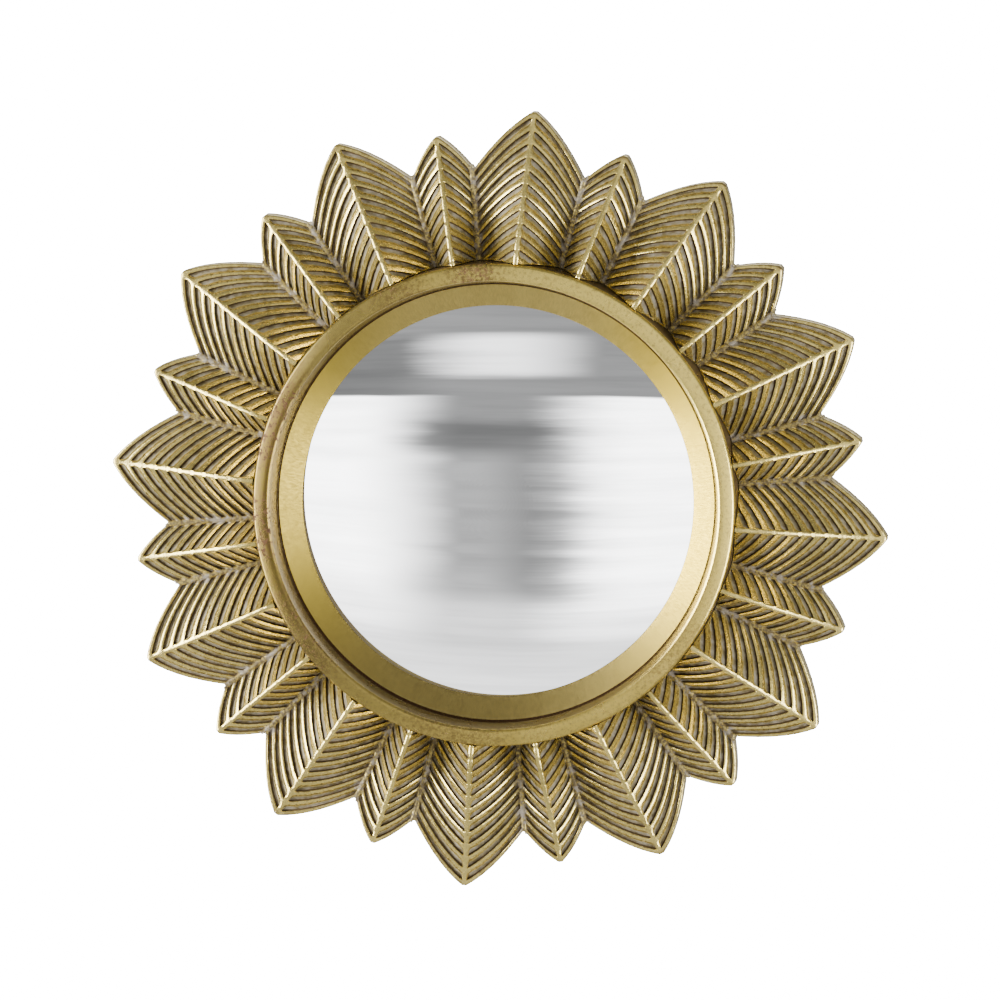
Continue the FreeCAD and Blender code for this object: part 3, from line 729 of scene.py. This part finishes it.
def soft_black(name, colour, scale):
    """Foam or felt: matt, with a fine uneven surface."""
    material, tree, shader = new_material(name)
    darker = tuple(channel * 0.5 for channel in colour)
    fuzz = mottled(tree, object_point(tree), scale, 5.0, 0.7, darker, colour)
    tree.links.new(fuzz["Color"], shader.inputs["Base Color"])
    shader.inputs["Roughness"].default_value = 0.95
    shader.inputs["Sheen Weight"].default_value = 0.3
    emboss(tree, shader, fuzz["Clouds"], 0.8, 0.0003)
    return material


def dress(node, material):
    """Gives a CAD node a material in place of its own."""
    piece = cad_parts[node]
    piece.data.materials.clear()
    piece.data.materials.append(material)


dress("back_board", hardboard())
dress("packing_pads", soft_black("foam", (0.07, 0.07, 0.07), 500.0))


def make_felts():
    """Four squares with rounded corners, and soft edges where they meet the wall."""
    bm = bmesh.new()
    for number in range(4):
        cube = bmesh.ops.create_cube(bm, size=1.0)["verts"]
        turn = math.radians(90 * number)
        middle = hang(pad_circle * math.cos(turn), pad_circle * math.sin(turn), back_height / 2)
        for vert in cube:
            x, y, z = vert.co
            vert.co = middle + Vector((x * pad_width, y * back_height, z * pad_width)) * MM
    upright = [edge for edge in bm.edges if abs(edge.verts[0].co.y - edge.verts[1].co.y) > 1e-6]
    bmesh.ops.bevel(bm, geom=upright, offset=pad_corner * MM, offset_type="OFFSET", segments=4, profile=0.5,
                    affect="EDGES", clamp_overlap=True, material=-1)
    rims = [edge for edge in bm.edges if abs(edge.verts[0].co.y - edge.verts[1].co.y) < 1e-6
            and edge.verts[0].co.y > -0.1 * MM]
    bmesh.ops.bevel(bm, geom=rims, offset=pad_edge * MM, offset_type="OFFSET", segments=2, profile=0.5,
                    affect="EDGES", clamp_overlap=True, material=-1)
    return finish_piece("wall_felts", bm, soft_black("felt", (0.10, 0.10, 0.10), 700.0), "mirror")


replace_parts(make_felts(), "wall_pads")

# ---- Screws -----------------------------------------------------------------------------------------
# Small plated steel screws with pan heads and a cross recess. Four hold the raised ring to the
# casting from behind, and four hold the back board in its recess.

head_cells = 14
cross_arm = 0.58
cross_half_width = 0.145
screw_point = 0.2
screw_taper = 1.5
board_back = 4.5


def plated_steel():
    material, tree, shader = new_material("plated_steel")
    plating = mottled(tree, object_point(tree), 500.0, 4.0, 0.55, (0.50, 0.49, 0.46), (0.64, 0.63, 0.60),
                      (0.26, 0.42))
    tree.links.new(plating["Color"], shader.inputs["Base Color"])
    shader.inputs["Metallic"].default_value = 1.0
    tree.links.new(plating["Roughness"], shader.inputs["Roughness"])
    emboss(tree, shader, plating["Clouds"], 0.15, 0.0001)
    return material


steel = plated_steel()


def add_screw(bm, x, y, seat, head_radius, head_height, shank_radius, length):
    """A pan head from a square grid drawn out to a disc; the cross is pushed in and the rim down."""
    grid = bmesh.ops.create_grid(bm, x_segments=head_cells, y_segments=head_cells, size=1.0)["verts"]
    cross = []
    for face in dict.fromkeys(face for vert in grid for face in vert.link_faces):
        spot = face.calc_center_median()
        across, along = sorted((abs(spot.x), abs(spot.y)))
        if across < cross_half_width and along < cross_arm:
            cross.append(face)
    rims = list(dict.fromkeys(edge for vert in grid for edge in vert.link_edges if len(edge.link_faces) == 1))
    for vert in grid:
        u, v = vert.co.x, vert.co.y
        px, py = u * math.sqrt(1 - v * v / 2), v * math.sqrt(1 - u * u / 2)
        crown = head_height * (1 - 0.45 * (px * px + py * py) ** 2)
        vert.co = hang(x + px * head_radius, y + py * head_radius, seat - crown)
    pushed = bmesh.ops.extrude_face_region(bm, geom=cross)["geom"]
    for item in pushed:
        if isinstance(item, bmesh.types.BMVert):
            item.co += Vector((0, -0.5 * head_height * MM, 0))
    bmesh.ops.delete(bm, geom=cross, context="FACES")
    middle = hang(x, y, 0)

    def drawn_in(radius, height):
        def move(spot):
            outward = Vector((spot.x - middle.x, 0, spot.z - middle.z)).normalized() * radius * MM
            return middle + outward + Vector((0, -height * MM, 0))
        return move

    tip = seat + length
    for radius, height in ((head_radius, seat - 0.1), (head_radius - 0.08, seat), (shank_radius, seat),
                           (shank_radius, tip - screw_taper), (screw_point, tip)):
        rims = carry(bm, rims, drawn_in(radius, height))
    bmesh.ops.holes_fill(bm, edges=rims, sides=0)


def make_screws(name, node, circle, first_angle, **size):
    """Four like screws on a circle; first_angle is in degrees, and size goes on to add_screw."""
    bm = bmesh.new()
    for number in range(4):
        turn = math.radians(first_angle + 90 * number)
        add_screw(bm, circle * math.cos(turn), circle * math.sin(turn), **size)
    piece = finish_piece(name, bm, steel, "mirror", sharp_angle=40)
    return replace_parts(piece, node)


make_screws("ring_fixing_screws", "ring_screws", circle=75.15, first_angle=90, seat=back_height,
            head_radius=2.4, head_height=1.1, shank_radius=1.25, length=14.0)
make_screws("board_fixing_screws", "board_screws", circle=69.0, first_angle=45, seat=board_back,
            head_radius=1.9, head_height=1.1, shank_radius=1.0, length=9.0)

# ---- Hanger ---------------------------------------------------------------------------------------------
# A strap folded from steel strip round the bar of a wire D-ring, and held to the board by one
# rivet. The D-ring is the object's only moving piece.

pivot_height = 52.0
strap_width = 11.0
strap_sheet = 0.8
strap_length = 26.0
strap_neck = 3.4
wire_radius = 1.1
loop_radius = wire_radius + 0.1 + strap_sheet / 2
pivot_level = board_back - loop_radius - strap_sheet / 2
bend_steps = 20
half_bar = 10.0
wire_corner = 2.6
bow_drop = 3.2
ring_lean = math.radians(4.0)
rivet_height = pivot_height - 18.5
rivet_radius = 1.6
rivet_head_radius = 2.8
rivet_tail = board_back + 3.0


def make_strap():
    """The strip's middle line: up the board, round the bar and down again, then given its sheet."""
    bm = bmesh.new()
    near = board_back - strap_sheet / 2
    far = near - strap_sheet
    foot = pivot_height - strap_length
    line = [(foot, near), (pivot_height, near)]
    for step in range(1, bend_steps):
        turn = math.radians(90 - 290 * step / bend_steps)
        line.append((pivot_height + loop_radius * math.cos(turn), pivot_level + loop_radius * math.sin(turn)))
    line += [(pivot_height - strap_neck, far), (foot, far)]
    spots = [bm.verts.new(hang(-strap_width / 2, y, height)) for y, height in line]
    edges = [bm.edges.new(pair) for pair in zip(spots, spots[1:])]
    carry(bm, edges, lambda spot: spot + Vector((strap_width * MM, 0, 0)))
    bmesh.ops.recalc_face_normals(bm, faces=bm.faces)
    bm.normal_update()
    bmesh.ops.solidify(bm, geom=bm.faces[:], thickness=strap_sheet * MM)
    return finish_piece("folded_strap", bm, steel, "mirror", sharp_angle=40)


def make_wire_ring():
    """A circle of wire carried along the bar, round both corners and round the bow."""
    bm = bmesh.new()
    section = bmesh.ops.create_circle(bm, cap_ends=False, segments=20, radius=wire_radius * MM,
                                      matrix=Matrix.Rotation(math.radians(90), 4, "Y"))["verts"]
    loop = list(dict.fromkeys(edge for vert in section for edge in vert.link_edges))

    def run(length_x, length_z):
        return lambda edges: carry(bm, edges, lambda spot: spot + Vector((length_x, 0, length_z)) * MM)

    def bend(x, z, angle, steps):
        def turn(edges):
            verts = list(dict.fromkeys(vert for edge in edges for vert in edge.verts))
            made = bmesh.ops.spin(bm, geom=verts + edges, cent=Vector((x, 0, z)) * MM, axis=(0, 1, 0),
                                  angle=math.radians(angle), steps=steps, use_merge=False)
            return [item for item in made["geom_last"] if isinstance(item, bmesh.types.BMEdge)]
        return turn

    straight = half_bar - wire_corner
    side = bow_drop - wire_corner
    for step in (run(straight, 0), bend(straight, -wire_corner, 90, 8), run(0, -side),
                 bend(0, -bow_drop, 180, 36), run(0, side), bend(-straight, -wire_corner, 90, 8),
                 run(straight, 0)):
        loop = step(loop)
    bmesh.ops.remove_doubles(bm, verts=bm.verts, dist=1e-2 * MM)
    pivot = hang(0, pivot_height, pivot_level)
    lean = Matrix.Rotation(ring_lean, 4, "X")
    bmesh.ops.transform(bm, matrix=Matrix.Translation(pivot) @ lean, verts=bm.verts)
    return finish_piece("wire_ring", bm, steel, "hanger")


strap_surface = board_back - 2 * strap_sheet
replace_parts(make_strap(), "hanger_strap")
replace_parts(make_wire_ring(), "hanger_ring")
rivet = turned_piece("strap_rivet", (
    (0.0, strap_surface - 1.1, 0.0), (2.0, strap_surface - 1.0, 0.5), (rivet_head_radius, strap_surface, 0.0),
    (rivet_radius, strap_surface, 0.0), (rivet_radius, rivet_tail, 0.0), (rivet_head_radius, rivet_tail, 0.0),
    (2.6, rivet_tail + 0.8, 0.2), (0.0, rivet_tail + 0.8, 0.0)), steel,
    centre=(0.0, rivet_height), steps=40)
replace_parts(rivet, "hanger_rivet")

# ---- Stage: floor, studio light and camera -----------------------------------------------------------------
# Two large soft boxes stand left and right of a hanging object. The glass reflects a pale card with
# soft grey bands, and the backdrop is white to the camera only. Sizes here are in metres.

floor_level = -0.5
floor_radius = 2.2
card_half_width = 7.0
card_half_height = 6.0
card_distance = 6.5

# Bands on the card: (left, right, low, high, blur across, blur up), share, grey.
card_bands = (((-2.2, 0.75, -2.3, 1.5, 1.0, 0.25), 0.97, 0.50),
              ((-2.2, 0.3, -3.2, -1.9, 0.8, 0.4), 0.75, 1.0),
              ((-2.2, 0.35, 0.14, 0.70, 0.6, 0.16), 0.9, 0.24),
              ((-1.8, 0.5, 0.7, 1.5, 0.9, 0.1), 0.6, 0.36),
              ((-0.5, 0.6, -2.2, 0.3, 0.4, 0.4), 0.7, 0.36),
              ((-9.0, 9.0, 1.04, 9.0, 0.1, 0.03), 1.0, 0.46),
              ((-9.0, -1.9, 1.04, 2.0, 0.7, 0.04), 0.6, 0.22),
              ((-1.5, 0.3, 1.38, 2.04, 0.8, 0.09), 1.0, 3.2),
              ((-9.0, 9.0, 2.10, 9.0, 0.1, 0.04), 0.8, 0.52))


def grey(value):
    return (value, value, value)


def stage_object(name, bm):
    """Links a stage object made from a bmesh."""
    mesh = bpy.data.meshes.new(name)
    bm.to_mesh(mesh)
    bm.free()
    stage = bpy.data.objects.new(name, mesh)
    bpy.context.scene.collection.objects.link(stage)
    return stage


def make_floor():
    bm = bmesh.new()
    bmesh.ops.create_circle(bm, cap_ends=True, segments=64, radius=floor_radius,
                            matrix=Matrix.Translation((0, 0, floor_level)))
    floor = stage_object("floor", bm)
    material, _, shader = new_material("pale_floor")
    shader.inputs["Base Color"].default_value = (0.82, 0.82, 0.81, 1.0)
    shader.inputs["Roughness"].default_value = 0.8
    floor.data.materials.append(material)
    floor.visible_glossy = False


def soft_patch(tree, x, z, left, right, low, high, blur_x, blur_z):
    """A mask that is 1 inside a rectangle of the card and fades out round it."""
    mask = between(tree, x, left - blur_x, left + blur_x)
    for value, start, end in ((x, right + blur_x, right - blur_x), (z, low - blur_z, low + blur_z),
                              (z, high + blur_z, high - blur_z)):
        mask = times(tree, mask, between(tree, value, start, end))
    return mask


def make_card():
    """The card that only reflections see: banded in the glass, plain and dimmer on the left elsewhere."""
    bm = bmesh.new()
    bmesh.ops.create_grid(bm, x_segments=1, y_segments=1, size=1.0)
    for vert in bm.verts:
        vert.co = Vector((vert.co.x * card_half_width, -card_distance, vert.co.y * card_half_height))
    card = stage_object("room_card", bm)
    card.visible_camera = False
    card.visible_shadow = False
    material = bpy.data.materials.new("room_card")
    material.use_nodes = True
    tree = material.node_tree
    tree.nodes.clear()
    spot = object_point(tree)
    across, _, up = add_node(tree, "ShaderNodeSeparateXYZ", {0: spot}).outputs
    blur = grain(tree, vector_node(tree, "MULTIPLY", spot, (0.12, 0.0, 3.0))[0], 1.0, 5.0, 0.6)
    wobble = math_node(tree, "SUBTRACT", blur, 0.5)
    x = plus(tree, across, times(tree, wobble, 1.1))
    z = plus(tree, up, times(tree, wobble, 0.2))
    bands = mix(tree, between(tree, z, -1.6, -3.4), grey(7.5), grey(2.3))
    for sides, share, value in card_bands:
        bands = mix(tree, times(tree, soft_patch(tree, x, z, *sides), share), bands, grey(value))
    plain = ramp(tree, between(tree, across, -6.0, 6.0), ((0.0, grey(0.31)), (1.0, grey(1.0))))
    sharp = add_node(tree, "ShaderNodeLightPath").outputs["Is Singular Ray"]
    streak = between(tree, blur, 0.3, 0.7, 0.82, 1.18)
    colour = mix(tree, sharp, plain, bands)
    light = add_node(tree, "ShaderNodeEmission", {"Color": colour, "Strength": streak})
    output = tree.nodes.new("ShaderNodeOutputMaterial")
    tree.links.new(light.outputs[0], output.inputs["Surface"])
    card.data.materials.append(material)


def direction(turn, rise):
    """The direction from the mirror at an angle to the right of its axis and one above it."""
    return Vector((math.sin(turn) * math.cos(rise), -math.cos(turn) * math.cos(rise), math.sin(rise)))


def soft_box(name, azimuth, elevation, distance, width, height, power):
    """A rectangular area light that looks at the mirror's centre."""
    light = bpy.data.lights.new(name, "AREA")
    light.shape = "RECTANGLE"
    light.size = width
    light.size_y = height
    light.energy = power
    lamp = bpy.data.objects.new(name, light)
    bpy.context.scene.collection.objects.link(lamp)
    place = direction(math.radians(azimuth), math.radians(elevation)) * distance
    lamp.location = place
    lamp.rotation_euler = (-place).to_track_quat("-Z", "Y").to_euler()


def make_world():
    """A soft grey surround, dimmer overhead, that the camera sees as white."""
    world = bpy.data.worlds.new("studio")
    bpy.context.scene.world = world
    world.use_nodes = True
    tree = world.node_tree
    tree.nodes.clear()
    seen_from = add_node(tree, "ShaderNodeTexCoord").outputs["Generated"]
    up = add_node(tree, "ShaderNodeSeparateXYZ", {0: seen_from}).outputs["Z"]
    surround = ramp(tree, plus(tree, times(tree, up, 0.5), 0.5), (
        (0.0, grey(0.52)), (0.45, grey(0.46)), (0.6, grey(0.26)), (1.0, grey(0.15))))
    seen = add_node(tree, "ShaderNodeLightPath").outputs["Is Camera Ray"]
    colour = mix(tree, seen, surround, grey(1.0))
    strength = between(tree, seen, 0.0, 1.0, 1.0, 24.0)
    background = add_node(tree, "ShaderNodeBackground", {"Color": colour, "Strength": strength})
    output = tree.nodes.new("ShaderNodeOutputWorld")
    tree.links.new(background.outputs[0], output.inputs["Surface"])


camera_azimuth = math.radians(5.7)
camera_elevation = math.radians(5.6)
camera_distance = 5.0
picture_width = 0.3201
camera_target = Vector((0.00035, -0.0085, 0.0))


def make_camera():
    data = bpy.data.cameras.new("camera")
    data.sensor_width = 36.0
    data.lens = data.sensor_width * camera_distance / picture_width
    data.clip_end = 50.0
    camera = bpy.data.objects.new("camera", data)
    bpy.context.scene.collection.objects.link(camera)
    toward = direction(camera_azimuth, camera_elevation)
    camera.location = camera_target + toward * camera_distance
    camera.rotation_euler = (-toward).to_track_quat("-Z", "Y").to_euler()
    bpy.context.scene.camera = camera


make_floor()
make_card()
make_world()
soft_box("left_soft_box", azimuth=-66, elevation=0, distance=2.4, width=1.1, height=2.1, power=180.0)
soft_box("right_soft_box", azimuth=62, elevation=-12, distance=2.4, width=1.1, height=1.4, power=85.0)
soft_box("rear_fill", azimuth=180, elevation=30, distance=3.0, width=2.0, height=2.0, power=15.0)
make_camera()
